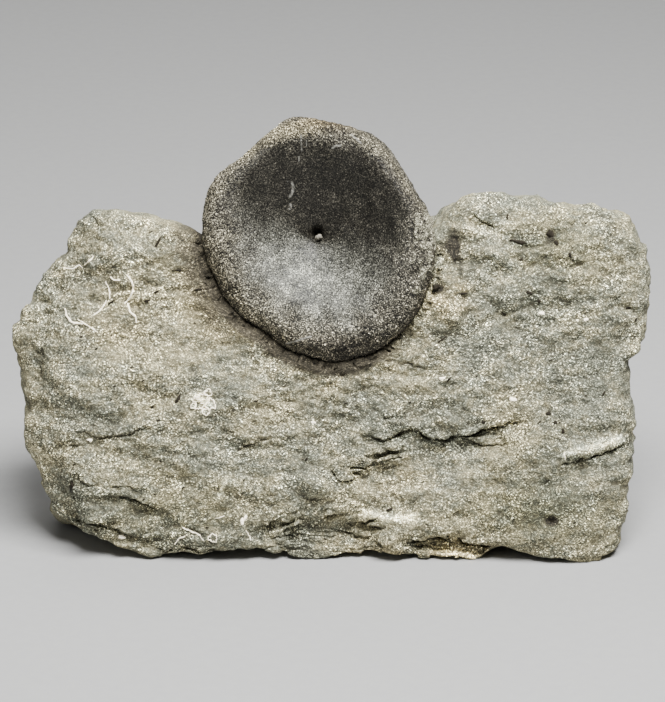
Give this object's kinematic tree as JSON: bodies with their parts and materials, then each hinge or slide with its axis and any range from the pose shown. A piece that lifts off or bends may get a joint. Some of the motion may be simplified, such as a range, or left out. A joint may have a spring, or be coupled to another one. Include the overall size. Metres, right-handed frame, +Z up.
{
  "type": "ichthyosaur vertebra fossil",
  "caption": "Dish-faced ichthyosaur backbone disc standing half free of a rough grey limestone block with broken ledges and cracks, resting upright on its own base.",
  "frame": {"origin": "middle of the footprint of the whole fossil, at the ground it stands on", "axes": "+X to the right along the block as the fossil face is seen, -Y out of the face with the fossil, +Z up"},
  "size_m": [0.1686, 0.0646, 0.1135],
  "materials": {
    "limestone": "rough, dry, finely speckled",
    "fossil_bone": "fine grained, with a soft sheen in the dish"
  },
  "bodies": {
    "root": {"matrix": "limestone", "vertebra": "fossil_bone"}
  },
  "joints": []
}
